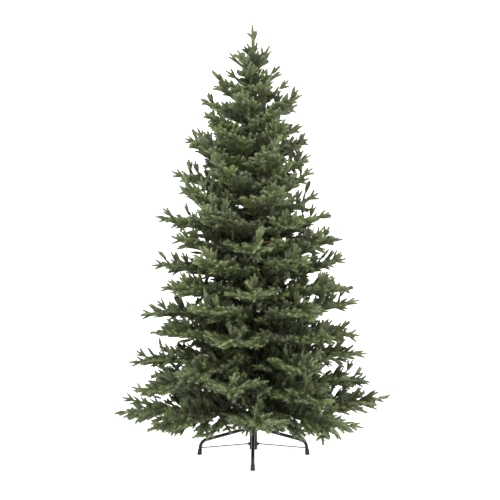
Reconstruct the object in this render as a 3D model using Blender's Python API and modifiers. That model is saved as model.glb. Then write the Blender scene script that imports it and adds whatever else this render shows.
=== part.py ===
"""An artificial Christmas fir for indoors, 2.10 m tall, on its own folding metal stand.

A steel pole stands in the hub of a stand with four bent legs. Tiers of wire boughs hook onto the pole, and each
bough carries flat moulded sprigs, whose fingers are the needle-covered shoots. The lowest tier has its eight
boughs as limbs of their own, bare near the pole. Above it the boughs of each tier share two masses, one on each
side of the pole, and one mass on top of the pole makes the leader.

Metres, +Z up, origin on the floor under the pole. The front of the tree faces -Y.
"""

import math
import random

import bmesh
import bpy
from mathutils import Matrix, Vector

# The whole tree
HEIGHT = 2.10
GAP = 0.0003  # between pieces that touch
CELL_GAP = 0.003  # kept free on each side of the border between two masses

# Stand: a socket on four bent tube legs, each braced by a thin stay
HUB_BOTTOM = 0.027
HUB_TOP = 0.146
HUB_FLOOR = 0.005
HUB_RADIUS = 0.0185
COLLAR_RADIUS = 0.0225
LOW_COLLAR = (0.045, 0.060)
LEG_COLLAR = (0.116, 0.141)
LEG_RADIUS = 0.0078
LEG_ROOT_HEIGHT = 0.1285
LEG_SLOPE = math.radians(15.2)
LEG_SPLAY = math.radians(6)  # of its lower end, out from the vertical
LEG_BEND_RADIUS = 0.040
FOOT_REACH = 0.264
FOOT_RADIUS = 0.0102
FOOT_HEIGHT = 0.024
FOOT_SOLE = 0.005
FOOT_SIDES = 10
STAY_RADIUS = 0.0021
STAY_HUB_HEIGHT = 0.0525
STAY_FOOT_HEIGHT = 0.033
LEG_AZIMUTHS = {"left": 180, "front": 269, "right": 0, "back": 89}

# Pole: three sections of tube, each thinner than the one that it stands in
POLE_SECTIONS = ((0.016, 0.665), (0.014, 1.142), (0.011, 1.620))  # radius, top
POLE_SIDES = 12

# Tiers of boughs, from the lowest up. Reach is from the pole's middle to the furthest tip.
TIER_HEIGHT = 0.235
TIER_PITCH = 0.0955
BOUGHS = (8, 7, 6, 7, 6, 6, 6, 6, 6, 5, 6, 5, 6, 5, 5, 5, 5, 4)
LEFT_REACH = (
    0.687, 0.540, 0.614, 0.480, 0.560, 0.430, 0.501, 0.384, 0.487,
    0.345, 0.408, 0.300, 0.345, 0.237, 0.271, 0.208, 0.150, 0.120,
)
RIGHT_REACH = (
    0.672, 0.584, 0.555, 0.520, 0.521, 0.457, 0.457, 0.413, 0.378,
    0.335, 0.306, 0.291, 0.281, 0.250, 0.222, 0.190, 0.139, 0.095,
)
WIDEST = 0.68
WIDEST_AT = 0.25
TAPER_POWER = 0.6
DEPTH_SHARE = 0.93  # of the widest reach, towards the front and the back
STEEPEST = math.radians(38)  # rise of the highest whole tier's boughs where they leave the pole
RISE_POWER = 0.65
STEEPEST_TIER = 14
LOWEST_SAG = 0.45  # share of its rise that a bough loses towards its tip
LEAST_SAG = 0.12
TURN_JITTER = math.radians(4)
REACH_JITTER = 0.05
LIFT_JITTER = 0.010
LEFT_SAG = -0.030  # of the boughs that point straight to the left
RAISED_RIGHT_TIP = 0.030  # of the lowest tier's right bough
SIDEWAYS = 0.85  # cosine from which a bough counts as one of the left or the right side
STRAIGHT = 0.99  # cosine from which it points straight that way

# Bare limbs of the lowest tier
LIMB_REACH = 0.110
LIMB_RADIUS = 0.0048
LIMB_TIP_RADIUS = 0.0042

# Stems and sprigs inside a mass
FORK_REACH = 0.045
STEM_RADIUS = 0.0062
STEM_TIP_RADIUS = 0.0042
STEM_FITTINGS = 4  # rounds in which its end is moved to one gap from the pole
SPRIGS = (0.52,)  # where each bough has a sprig on both sides, as shares of its reach
LOWEST_SPRIGS = (0.46, 0.64)
ONE_SIDED_TIER = 6  # from which a bough has its side sprig on one side only
LAST_LOBED_TIER = 16
SPRIG_SUNK = 0.014
END_SPRIG_SHARE = 0.36
SIDE_SPRIG_SHARE = 0.42
SHORTEST_SPRIG = 0.085
LONGEST_SPRIG = 0.200
SPRIG_PAIRS = 2
SPRIG_THICKNESS = 0.040  # of its length
SPRIG_ROOT = 0.05
SPRIG_STEM = 0.085
FINGER_TURN = math.radians(44)
FINGER_LENGTH = 1.12  # in pitches of the pairs
SPRIG_TURN = math.radians(46)
SPRIG_ROLLS = (math.radians(35), math.radians(85))
SPRIG_RISES = (-0.25, 0.35)  # out of the bough's plane, over the sideways part
LOWEST_DROOP = 0.25  # taken off that in the lowest tier
LOWEST_ROOM = 0.85  # tiers of space below the lowest boughs
LEADER_ROOM = 9  # tiers of space above the leader's first one

# Core of the crowded foliage close to the pole, and the lobe that it sends out along each bough
CORE_SHARE = 0.32  # of a tier's reach
CORE_CREST = 0.45  # where it is thickest, as a share of its own reach
CORE_CLEAR = 0.024
CORE_STEPS = 5
LOBE_ROOT = 0.12  # share of the bough's reach, as are the next two
LOBE_CREST = 0.42
LOBE_TIP = 0.80
LOBE_WIDTH = 0.78  # of its sector
BAND_FILL = 0.42  # how far cores and lobes go towards the next tier

# Leader: the highest boughs and the upright shoot, on a stem that goes on from the pole
LEADER_TIERS = (15, 16, 17)
LEADER_RADIUS = 0.0075
LEADER_TIP_RADIUS = 0.0035
LEADER_WHORLS = ((1.945, 0.070, 42), (2.030, 0.052, 30))  # height, finger length, degrees from the stem
LEADER_FINGER = 0.014
WHORL_START = 172  # degrees, where the first of a whorl's three fingers points

GREEN = (0.055, 0.105, 0.035)
POLE_GREEN = (0.020, 0.045, 0.022)
BARK_BROWN = (0.110, 0.050, 0.028)
STAND_BLACK = (0.012, 0.012, 0.013)
CAP_BLACK = (0.006, 0.006, 0.006)


def clear_scene():
    for old in list(bpy.data.objects):
        bpy.data.objects.remove(old)


def make_material(name, colour, roughness, metallic=0.0):
    material = bpy.data.materials.new(name)
    material.use_nodes = True
    shader = material.node_tree.nodes["Principled BSDF"]
    shader.inputs["Base Color"].default_value = (*colour, 1.0)
    shader.inputs["Roughness"].default_value = roughness
    shader.inputs["Metallic"].default_value = metallic
    return material


def make_collection(name):
    collection = bpy.data.collections.new(name)
    bpy.context.scene.collection.children.link(collection)
    return collection


def add_object(name, data, collection, material=None):
    obj = bpy.data.objects.new(name, data)
    collection.objects.link(obj)
    if material is not None:
        data.materials.append(material)
    return obj


def clamp(value, low, high):
    return max(low, min(high, value))


def on_circle(reach, azimuth, height):
    return Vector((reach * math.cos(azimuth), reach * math.sin(azimuth), height))


# Blender's modelling tools, wrapped for this tree's pieces


def turned(name, profile, sides, collection, material):
    """A piece of revolution about +Z. The profile's (radius, height) points run down its outer side."""
    mesh = bpy.data.meshes.new(name)
    points = [(radius, 0.0, height) for radius, height in profile]
    mesh.from_pydata(points, [(i, i + 1) for i in range(len(points) - 1)], [])
    obj = add_object(name, mesh, collection, material)
    screw = obj.modifiers.new("turn", "SCREW")
    screw.steps = screw.render_steps = sides
    screw.use_merge_vertices = True
    screw.merge_threshold = 0.00001
    return obj


def tube(name, points, radii, resolution, collection, material=None):
    """A round bar along the points, as thick at each one as its radius."""
    curve = bpy.data.curves.new(name, "CURVE")
    curve.dimensions = "3D"
    curve.bevel_depth = 1.0
    curve.bevel_resolution = resolution
    curve.use_fill_caps = True
    spline = curve.splines.new("POLY")
    spline.points.add(len(points) - 1)
    for knot, point, radius in zip(spline.points, points, radii):
        knot.co = (*point, 1.0)
        knot.radius = radius
    return add_object(name, curve, collection, material)


def as_mesh(obj):
    """The object's evaluated mesh, welded, in its own coordinates. The object itself is removed."""
    evaluated = obj.evaluated_get(bpy.context.evaluated_depsgraph_get())
    mesh = bpy.data.meshes.new_from_object(evaluated)
    bpy.data.objects.remove(obj)
    work = bmesh.new()
    work.from_mesh(mesh)
    bmesh.ops.remove_doubles(work, verts=work.verts, dist=0.00001)
    bmesh.ops.recalc_face_normals(work, faces=work.faces)
    work.to_mesh(mesh)
    work.free()
    return mesh


def bar_mesh(start, end, radius, tip_radius):
    """A three-sided twig from start to end."""
    along = end - start
    work = bmesh.new()
    bmesh.ops.create_cone(
        work, cap_ends=True, segments=3, radius1=radius, radius2=tip_radius, depth=along.length
    )
    turn = along.to_track_quat("Z", "X").to_matrix().to_4x4()
    bmesh.ops.transform(work, verts=work.verts, matrix=Matrix.Translation((start + end) / 2) @ turn)
    mesh = bpy.data.meshes.new("twig")
    work.to_mesh(mesh)
    work.free()
    return mesh


def hull(points):
    work = bmesh.new()
    for point in points:
        work.verts.new(point)
    bmesh.ops.convex_hull(work, input=work.verts)
    bmesh.ops.recalc_face_normals(work, faces=work.faces)
    mesh = bpy.data.meshes.new("hull")
    work.to_mesh(mesh)
    work.free()
    return mesh


def core_mesh(tier, middle, half_width, reach):
    """A part of a lens that lies round the pole, cut flat on the pole's side."""
    rim = CORE_SHARE * reach
    outward = on_circle(CORE_CLEAR, middle, 0)
    half = min(half_width, math.pi / 2)
    points = []
    for i in range(CORE_STEPS):
        azimuth = middle + half * (2 * i / (CORE_STEPS - 1) - 1)
        for share, level in ((1, tier), (CORE_CREST, tier + BAND_FILL), (CORE_CREST, tier - BAND_FILL)):
            place = on_circle(rim * share, azimuth, 0) + outward
            place.z = tier_height(level, math.hypot(place.x, place.y))
            points.append(place)
    return hull(points)


def lobe_edge(bough, share):
    """Half the width of a bough's lobe, outward from where it is widest."""
    widest = LOBE_CREST * bough.reach * math.tan(math.pi / BOUGHS[bough.tier]) * LOBE_WIDTH
    return min(widest, LOBE_CREST * bough.reach) * (LOBE_TIP - share) / (LOBE_TIP - LOBE_CREST)


def lobe_mesh(bough, root):
    """The crowded inner foliage of one bough, as a kite that is thickest at its widest place."""
    reach = LOBE_CREST * bough.reach
    crest = bough.point(reach)
    across = on_circle(lobe_edge(bough, LOBE_CREST), bough.azimuth + math.pi / 2, 0)
    middle = tier_height(bough.tier, reach)
    above = Vector((0, 0, tier_height(bough.tier + BAND_FILL, reach) - middle))
    below = Vector((0, 0, tier_height(bough.tier - BAND_FILL, reach) - middle))
    tip = bough.point(LOBE_TIP * bough.reach)
    return hull((bough.point(root), tip, crest + across, crest - across, crest + above, crest + below))


def drop_scraps(mesh):
    """Leaves only the mesh's largest piece, without the slivers and sealed hollows that a union may leave."""
    work = bmesh.new()
    work.from_mesh(mesh)
    pieces = []
    unseen = set(work.faces)
    while unseen:
        piece = [unseen.pop()]
        for face in piece:
            for edge in face.edges:
                for other in edge.link_faces:
                    if other in unseen:
                        unseen.remove(other)
                        piece.append(other)
        pieces.append(piece)
    pieces.sort(key=len)
    scraps = [face for piece in pieces[:-1] for face in piece]
    bmesh.ops.delete(work, geom=scraps, context="FACES")
    work.to_mesh(mesh)
    work.free()


def joined(name, meshes, collection, material):
    """One solid from overlapping meshes, each with its place. The first lies in its place already."""
    group = make_collection("to_join")
    base = add_object(name, meshes[0][0], collection)
    for mesh, matrix in meshes[1:]:
        add_object("to_join", mesh, group).matrix_world = matrix
    union = base.modifiers.new("join", "BOOLEAN")
    union.operation = "UNION"
    union.operand_type = "COLLECTION"
    union.collection = group
    union.solver = "MANIFOLD"
    mesh = as_mesh(base)
    for obj in list(group.objects):
        bpy.data.objects.remove(obj)
    bpy.data.collections.remove(group)
    drop_scraps(mesh)
    mesh.name = name
    mesh.materials.clear()
    return add_object(name, mesh, collection, material)


# Stand


def leg_path():
    """The leg's middle line in its own upright plane, as (reach, height) points from the hub to the floor."""
    start = Vector((COLLAR_RADIUS + GAP + LEG_RADIUS * math.sin(LEG_SLOPE), LEG_ROOT_HEIGHT))
    slope = Vector((math.cos(LEG_SLOPE), -math.sin(LEG_SLOPE)))
    drop = Vector((math.sin(LEG_SPLAY), -math.cos(LEG_SPLAY)))
    turn = math.pi / 2 - LEG_SLOPE - LEG_SPLAY
    setback = LEG_BEND_RADIUS * math.tan(turn / 2)
    # The corner where the two straight runs would meet, from the foot's place on the floor
    foot = Vector((FOOT_REACH, 0.0))
    across = foot - start
    run = (across.x * drop.y - across.y * drop.x) / (slope.x * drop.y - slope.y * drop.x)
    corner = start + slope * run
    centre = corner - slope * setback + Vector((-math.sin(LEG_SLOPE), -math.cos(LEG_SLOPE))) * LEG_BEND_RADIUS
    steps = 5
    bend = []
    for i in range(steps + 1):
        angle = math.pi / 2 - LEG_SLOPE - turn * i / steps
        bend.append(centre + LEG_BEND_RADIUS * Vector((math.cos(angle), math.sin(angle))))
    return [start, *bend, foot - drop * (FOOT_SOLE + GAP)]


def build_stand(tree, cutters, black, cap_black):
    bore = POLE_SECTIONS[0][0] + GAP
    hub_profile = (
        (0.0, HUB_BOTTOM + HUB_FLOOR),
        (bore, HUB_BOTTOM + HUB_FLOOR),
        (bore, HUB_TOP),
        (HUB_RADIUS, HUB_TOP),
        (HUB_RADIUS, LEG_COLLAR[1]),
        (COLLAR_RADIUS, LEG_COLLAR[1]),
        (COLLAR_RADIUS, LEG_COLLAR[0]),
        (HUB_RADIUS, LEG_COLLAR[0]),
        (HUB_RADIUS, LOW_COLLAR[1]),
        (COLLAR_RADIUS, LOW_COLLAR[1]),
        (COLLAR_RADIUS, LOW_COLLAR[0]),
        (HUB_RADIUS, LOW_COLLAR[0]),
        (HUB_RADIUS, HUB_BOTTOM),
        (0.0, HUB_BOTTOM),
    )
    turned("stand_hub", hub_profile, POLE_SIDES, tree, black)
    floor = cut_floor(cutters)
    path = leg_path()
    for side, degrees in LEG_AZIMUTHS.items():
        azimuth = math.radians(degrees)
        points = [on_circle(p.x, azimuth, p.y) for p in path]
        tube(f"stand_leg_{side}", points, [LEG_RADIUS] * len(points), 2, tree, black)
        build_foot(side, azimuth, tree, floor, cap_black)
        build_stay(side, azimuth, path, tree, black)


def cut_floor(cutters):
    """A block below the floor, which cuts the soles flat."""
    work = bmesh.new()
    bmesh.ops.create_cube(work, size=1.0)
    bmesh.ops.translate(work, verts=work.verts, vec=(0, 0, -0.5))
    mesh = bpy.data.meshes.new("floor_cutter")
    work.to_mesh(mesh)
    work.free()
    floor = add_object("floor_cutter", mesh, cutters)
    floor.hide_render = True
    floor.display_type = "WIRE"
    return floor


def build_foot(side, azimuth, tree, floor, material):
    """A cap that the splayed end of a leg stands in, with a flat sole."""
    bore = (LEG_RADIUS + GAP) / math.cos(math.pi / FOOT_SIDES)
    profile = (
        (0.0, FOOT_SOLE),
        (bore, FOOT_SOLE),
        (bore, FOOT_HEIGHT),
        (FOOT_RADIUS, FOOT_HEIGHT),
        (FOOT_RADIUS * 1.08, -FOOT_SOLE),
        (0.0, -FOOT_SOLE),
    )
    foot = turned(f"stand_foot_{side}", profile, FOOT_SIDES, tree, material)
    foot.location = on_circle(FOOT_REACH, azimuth, 0)
    foot.rotation_euler = (0, -LEG_SPLAY, azimuth)
    sole = foot.modifiers.new("sole", "BOOLEAN")
    sole.operation = "DIFFERENCE"
    sole.object = floor


def build_stay(side, azimuth, path, tree, material):
    """A thin bar from the hub's low collar to the leg's lower run."""
    lower_start, lower_end = path[-2], path[-1]
    share = (lower_start.y - STAY_FOOT_HEIGHT) / (lower_start.y - lower_end.y)
    on_leg = lower_start.lerp(lower_end, share)
    clear = LEG_RADIUS / math.cos(LEG_SPLAY) + GAP
    slope = math.atan2(STAY_HUB_HEIGHT - STAY_FOOT_HEIGHT, on_leg.x - COLLAR_RADIUS)
    start = on_circle(COLLAR_RADIUS + GAP + STAY_RADIUS * math.sin(slope), azimuth, STAY_HUB_HEIGHT)
    clear += STAY_RADIUS * (math.sin(slope) + math.tan(LEG_SPLAY))
    end = on_circle(on_leg.x - clear, azimuth, STAY_FOOT_HEIGHT)
    tube(f"stand_stay_{side}", [start, end], [STAY_RADIUS] * 2, 2, tree, material)


def build_pole(tree, material):
    bottom = HUB_BOTTOM + HUB_FLOOR + GAP
    profile = [(0.0, POLE_SECTIONS[-1][1])]
    for i in reversed(range(len(POLE_SECTIONS))):
        radius, top = POLE_SECTIONS[i]
        foot = POLE_SECTIONS[i - 1][1] if i else bottom
        profile += [(radius, top), (radius, foot)]
    profile.append((0.0, bottom))
    return turned("pole", profile, POLE_SIDES, tree, material)


# The rule that places the boughs. A tier may be a fraction, for the borders between tiers.


def pole_radius(height):
    for radius, top in POLE_SECTIONS:
        if height < top:
            return radius
    return POLE_SECTIONS[-1][0]


def tier_root(tier):
    return TIER_HEIGHT + TIER_PITCH * tier


def crown_reach(height):
    """The crown's greatest reach at a height."""
    left = clamp((HEIGHT - height) / (HEIGHT - WIDEST_AT), 0.02, 1.0)
    return WIDEST * left**TAPER_POWER


def tier_rise(tier):
    """How steeply a tier's boughs leave the pole."""
    return STEEPEST * (max(0.0, tier) / STEEPEST_TIER) ** RISE_POWER


def tier_height(tier, reach):
    """Height of a tier's middle surface at a distance from the pole."""
    widest = crown_reach(tier_root(tier) + 0.08)
    sag = LOWEST_SAG + (LEAST_SAG - LOWEST_SAG) * clamp(tier / STEEPEST_TIER, 0.0, 1.0)
    return tier_root(tier) + reach * math.tan(tier_rise(tier)) * (1 - sag * min(1.0, reach / widest))


class Bough:
    """One bough: where it points, how far it reaches and how much its tip lifts."""

    def __init__(self, tier, index):
        count = BOUGHS[tier]
        chance = random.Random(100 * tier + index % count)
        straight = index % count == 0
        turn = math.pi + (tier % 2) * math.pi / count
        self.tier = tier
        self.azimuth = turn + index * math.tau / count + (0 if straight else chance.uniform(-1, 1) * TURN_JITTER)
        side = math.cos(self.azimuth)
        sideways = RIGHT_REACH[tier] if side > 0 else LEFT_REACH[tier]
        depth = DEPTH_SHARE * crown_reach(tier_root(tier) + 0.08)
        self.reach = side * side * sideways + (1 - side * side) * depth
        self.reach *= 1 - REACH_JITTER * chance.random()
        if abs(side) > SIDEWAYS:
            self.reach = sideways / abs(side)
        self.lift = LIFT_JITTER * chance.uniform(-1, 1)
        if side < -STRAIGHT:
            self.lift = LEFT_SAG
        if tier == 0 and side > STRAIGHT:
            self.lift = RAISED_RIGHT_TIP
        self.chance = chance

    def point(self, reach):
        height = tier_height(self.tier, reach) + self.lift * (reach / self.reach) ** 2
        return on_circle(reach, self.azimuth, height)


class Cell:
    """The space of one mass: a sector of a tier, between the borders with the tiers above and below."""

    def __init__(self, tier, middle, half_width, below=0.5, above=0.5):
        self.tier, self.middle, self.half_width = tier, middle, half_width
        self.below, self.above = below, above

    def holds(self, point):
        reach = math.hypot(point.x, point.y)
        azimuth = math.atan2(point.y, point.x)
        off = abs((azimuth - self.middle + math.pi) % math.tau - math.pi)
        inside = self.half_width - off
        side_room = reach * math.sin(min(inside, math.pi / 2))
        low = tier_height(self.tier - self.below, reach)
        high = tier_height(self.tier + self.above, reach)
        return (
            side_room > CELL_GAP
            and low + CELL_GAP < point.z < high - CELL_GAP
            and reach > pole_radius(point.z) + 2 * GAP
        )


# Sprigs: flat blade whose teeth are the fingers


def sprig_outline():
    """Outline of a sprig one unit long, from its root at the origin along +Y."""
    pitch = 1.0 / (SPRIG_PAIRS + 1)
    finger = min(FINGER_LENGTH * pitch, 0.52)
    side = []
    for i in range(SPRIG_PAIRS):
        length = finger * (1 - 0.08 * i)
        leaves = (i + 0.12) * pitch
        side.append((SPRIG_STEM + length * math.sin(FINGER_TURN), leaves + length * math.cos(FINGER_TURN)))
        side.append((SPRIG_STEM * (1 - 0.1 * i), (i + 1) * pitch))
    return [(0.0, -SPRIG_ROOT), *side, (0.0, 1.0), *[(-x, y) for x, y in reversed(side)]]


def make_blade(collection):
    curve = bpy.data.curves.new("blade", "CURVE")
    curve.dimensions = "2D"
    curve.fill_mode = "BOTH"
    curve.extrude = SPRIG_THICKNESS / 2
    outline = sprig_outline()
    spline = curve.splines.new("POLY")
    spline.points.add(len(outline) - 1)
    for knot, (x, y) in zip(spline.points, outline):
        knot.co = (x, y, 0.0, 1.0)
    spline.use_cyclic_u = True
    return as_mesh(add_object("blade", curve, collection))


def sprig_matrix(root, direction, normal, length):
    """Places a unit sprig so that it runs along the direction and faces the normal."""
    along = direction.normalized()
    across = along.cross(normal).normalized()
    face = across.cross(along)
    turn = Matrix((across, along, face)).transposed().to_4x4()
    return Matrix.Translation(root) @ turn @ Matrix.Scale(length, 4)


def add_sprig(meshes, blade, cell, root, direction, up, length, roll, from_tip=False):
    """Adds a sprig, shorter or flatter if need be to stay in the cell, or skips it."""
    for share in (1.0, 0.75, 0.5, 0.2):
        for shrink in (1.0, 0.85, 0.7):
            normal = Matrix.Rotation(roll * share, 3, direction) @ up
            start = root + direction * (1 - shrink) if from_tip else root
            matrix = sprig_matrix(start, direction, normal, length * shrink)
            if all(cell.holds(matrix @ v.co) for v in blade.vertices):
                meshes.append((blade, matrix))
                return


def grow_bough(meshes, blade, cell, bough, start, shares):
    """A stem from start with its lobe, a sprig that carries on to the tip and sprigs on the lobe's sides."""
    chance = bough.chance
    end_length = clamp(END_SPRIG_SHARE * bough.reach, SHORTEST_SPRIG, LONGEST_SPRIG)
    tip = bough.point(bough.reach)
    elbow = bough.point(bough.reach - end_length)
    meshes.append((bar_mesh(start, elbow, STEM_RADIUS, STEM_TIP_RADIUS), Matrix.Identity(4)))
    if bough.tier <= LAST_LOBED_TIER:
        lobe_root = max(LOBE_ROOT * bough.reach, math.hypot(start.x, start.y) + 0.01)
        meshes.append((lobe_mesh(bough, lobe_root), Matrix.Identity(4)))
    along = (elbow - start).normalized()
    level = along.cross(Vector((0, 0, 1))).normalized()
    up = level.cross(along)
    ahead = tip - elbow
    first = chance.choice((-1, 1))
    roll = first * chance.uniform(*SPRIG_ROLLS)
    add_sprig(meshes, blade, cell, elbow, ahead, up, ahead.length, roll, from_tip=True)
    sides = (first,) if bough.tier >= ONE_SIDED_TIER else (first, -first)
    for share in shares:
        for side in sides:
            turn = SPRIG_TURN + chance.uniform(-0.12, 0.12)
            rise = chance.uniform(*SPRIG_RISES) - (LOWEST_DROOP if bough.tier == 0 else 0)
            direction = along * math.cos(turn) + (level * side + up * rise) * math.sin(turn)
            length = clamp(SIDE_SPRIG_SHARE * bough.reach * (1.3 - share), SHORTEST_SPRIG, LONGEST_SPRIG)
            root = bough.point(share * bough.reach) + level * side * (lobe_edge(bough, share) - SPRIG_SUNK)
            add_sprig(meshes, blade, cell, root, direction, up, length, -side * chance.uniform(*SPRIG_ROLLS))


# Masses


def tier_groups(tier, count):
    """The tier's boughs in as many runs of neighbours as it has masses. Where they start alternates if it can."""
    first = tier // 2 % 2 if BOUGHS[tier] % 2 == 0 else 0
    boughs = [Bough(tier, index) for index in range(first, first + BOUGHS[tier])]
    edges = [math.ceil(i * len(boughs) / count) for i in range(count + 1)]
    return [boughs[a:b] for a, b in zip(edges, edges[1:])], boughs


def borders(group, boughs):
    """Middle and half width of a group's sector, with borders midway to the neighbours' boughs."""
    first, last = boughs.index(group[0]), boughs.index(group[-1])
    before = boughs[first - 1].azimuth - (math.tau if first == 0 else 0)
    after = boughs[(last + 1) % len(boughs)].azimuth + (math.tau if last == len(boughs) - 1 else 0)
    low = (before + group[0].azimuth) / 2
    high = (group[-1].azimuth + after) / 2
    return (low + high) / 2, (high - low) / 2


def build_lowest_tier(tree, blade, green, brown):
    """Eight bare limbs, each with a mass of its own that starts at its tip."""
    groups, boughs = tier_groups(0, BOUGHS[0])
    for number, group in enumerate(groups, 1):
        bough = group[0]
        cell = Cell(0, *borders(group, boughs), below=LOWEST_ROOM)
        root = on_circle(pole_radius(TIER_HEIGHT) + GAP, bough.azimuth, TIER_HEIGHT)
        end = bough.point(LIMB_REACH)
        tube(
            f"bough_{number}",
            [root, root.lerp(end, 0.5), end],
            [LIMB_RADIUS, (LIMB_RADIUS + LIMB_TIP_RADIUS) / 2, LIMB_TIP_RADIUS],
            1,
            tree,
            brown,
        )
        limb = end - root
        bend = limb.angle(bough.point(bough.reach) - end)
        start = end + limb.normalized() * (GAP + STEM_RADIUS * math.sin(bend))
        meshes = []
        grow_bough(meshes, blade, cell, bough, start, LOWEST_SPRIGS)
        joined(f"foliage_01_{number}", meshes, tree, green)


def stem_from_pole(azimuth, height, fork):
    """A stem whose end is one gap clear of the pole where the two are nearest."""
    clear = pole_radius(height) + GAP
    reach = clear
    for _ in range(STEM_FITTINGS):
        stem = bar_mesh(on_circle(reach, azimuth, height), fork, STEM_RADIUS, STEM_RADIUS)
        places = [corner.co for corner in stem.vertices]
        places += [(places[a] + places[b]) / 2 for a, b in stem.edge_keys]
        reach += clear - min(math.hypot(place.x, place.y) for place in places)
    return stem


def build_tier(tier, tree, blade, green):
    """Two masses, one on each side of the pole. Each has one stem, which forks to its boughs inside the core."""
    groups, boughs = tier_groups(tier, 2)
    height = tier_root(tier)
    for number, group in enumerate(groups, 1):
        middle, half_width = borders(group, boughs)
        cell = Cell(tier, middle, half_width)
        fork = on_circle(FORK_REACH, middle, tier_height(tier, FORK_REACH))
        meshes = [(stem_from_pole(middle, height, fork), Matrix.Identity(4))]
        for bough in group:
            grow_bough(meshes, blade, cell, bough, fork, SPRIGS)
        reach = sum(bough.reach for bough in group) / len(group)
        meshes.append((core_mesh(tier, middle, half_width, reach), Matrix.Identity(4)))
        joined(f"foliage_{tier + 1:02d}_{number}", meshes, tree, green)


def build_leader(tree, blade, green):
    bottom = POLE_SECTIONS[-1][1] + GAP
    top = LEADER_WHORLS[-1][0]
    cell = Cell(LEADER_TIERS[0], 0.0, math.tau, above=LEADER_ROOM)
    stem = bar_mesh(Vector((0, 0, bottom)), Vector((0, 0, top)), LEADER_RADIUS, LEADER_TIP_RADIUS)
    meshes = []
    for tier in LEADER_TIERS:
        for index in range(BOUGHS[tier]):
            grow_bough(meshes, blade, cell, Bough(tier, index), Vector((0, 0, tier_root(tier))), ())
    for height, length, spread in LEADER_WHORLS:
        for i in range(3):
            azimuth = math.radians(WHORL_START + 120 * i)
            turn = math.radians(spread)
            start = Vector((0, 0, height))
            end = start + length * on_circle(math.sin(turn), azimuth, math.cos(turn))
            meshes.append((bar_mesh(start, end, LEADER_FINGER / 2, LEADER_FINGER / 4), Matrix.Identity(4)))
    tip = bar_mesh(Vector((0, 0, top - 0.01)), Vector((0, 0, HEIGHT)), LEADER_FINGER / 2, LEADER_FINGER / 4)
    meshes.append((tip, Matrix.Identity(4)))
    joined("leader", [(stem, Matrix.Identity(4)), *meshes], tree, green)


def main():
    clear_scene()
    tree = make_collection("artificial_christmas_tree")
    cutters = make_collection("cutters")
    black = make_material("powder_coated_steel", STAND_BLACK, 0.42, 0.0)
    cap_black = make_material("rubber_cap", CAP_BLACK, 0.65)
    pole_green = make_material("painted_pole", POLE_GREEN, 0.45)
    brown = make_material("wrapped_wire", BARK_BROWN, 0.75)
    green = make_material("needles", GREEN, 0.55)
    build_stand(tree, cutters, black, cap_black)
    build_pole(tree, pole_green)
    blade = make_blade(cutters)
    build_lowest_tier(tree, blade, green, brown)
    for tier in range(1, LEADER_TIERS[0]):
        build_tier(tier, tree, blade, green)
    build_leader(tree, blade, green)


main()
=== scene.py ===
"""Looks of an artificial Christmas fir, 2.10 m tall, on its folding metal stand."""

import math
import random
from functools import partial
from types import SimpleNamespace

import bpy
from mathutils import Matrix, Vector


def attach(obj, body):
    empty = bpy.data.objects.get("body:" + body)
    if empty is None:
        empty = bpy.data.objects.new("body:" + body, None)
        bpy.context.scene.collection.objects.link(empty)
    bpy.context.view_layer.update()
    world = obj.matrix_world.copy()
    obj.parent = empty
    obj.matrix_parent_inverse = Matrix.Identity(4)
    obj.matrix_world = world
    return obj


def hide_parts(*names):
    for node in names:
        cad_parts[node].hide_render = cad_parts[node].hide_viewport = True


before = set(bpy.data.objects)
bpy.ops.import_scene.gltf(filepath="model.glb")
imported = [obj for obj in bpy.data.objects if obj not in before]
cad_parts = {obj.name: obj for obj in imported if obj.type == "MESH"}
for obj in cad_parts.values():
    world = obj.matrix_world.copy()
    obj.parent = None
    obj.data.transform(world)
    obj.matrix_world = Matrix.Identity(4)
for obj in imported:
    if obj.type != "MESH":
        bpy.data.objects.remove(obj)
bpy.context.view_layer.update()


# Stand hub. A piece of black powder-coated steel tube that the pole stands in, with a pressed collar at each
# end of the legs' travel. Flat lugs, welded on in pairs, hold each leg above and each stay below on a rivet.

HUB_BOTTOM, HUB_TOP, HUB_FLOOR = 0.027, 0.146, 0.005
HUB_RADIUS, HUB_BORE, HUB_EDGE, HUB_SIDES = 0.0185, 0.0163, 0.0012, 40
COLLAR_RADIUS, COLLAR_EDGE, COLLAR_OVERLAP = 0.0213, 0.0014, 0.0008
LOW_COLLAR, LEG_COLLAR = (0.045, 0.060), (0.116, 0.141)
LEG_LUGS = SimpleNamespace(
    reach=0.030, height=0.1275, nose=0.0072, base=0.0125, thickness=0.0016, apart=0.0092,
    rivet_length=0.0232, rivet_radius=0.0026,
)
STAY_LUGS = SimpleNamespace(
    reach=0.0255, height=0.0525, nose=0.0042, base=0.0065, thickness=0.0012, apart=0.0032,
    rivet_length=0.0100, rivet_radius=0.0016,
)
LEG_AZIMUTHS = {"left": math.pi, "front": math.radians(269), "right": 0.0, "back": math.radians(89)}
NEAR_AXIS, SHARPEST_SMOOTH_EDGE = 0.001, math.radians(35)


def live(sockets, name):
    """The socket of this name that the node uses in its present mode."""
    return next(socket for socket in sockets if socket.enabled and socket.name == name)


def feed(node, feeds):
    """Feeds a node's inputs with values, with sockets or with other nodes, each by its first live output."""
    for key, value in feeds.items():
        socket = node.inputs[key] if isinstance(key, int) else live(node.inputs, key)
        if isinstance(value, bpy.types.Node):
            value = next(output for output in value.outputs if output.enabled)
        if isinstance(value, bpy.types.NodeSocket):
            node.id_data.links.new(value, socket)
        else:
            socket.default_value = value


def add_node(tree, kind, feeds=None, **settings):
    """A new node in the tree, with its settings made and its inputs fed."""
    node = tree.nodes.new(kind)
    for key, value in settings.items():
        setattr(node, key, value)
    feed(node, feeds or {})
    return node


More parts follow.
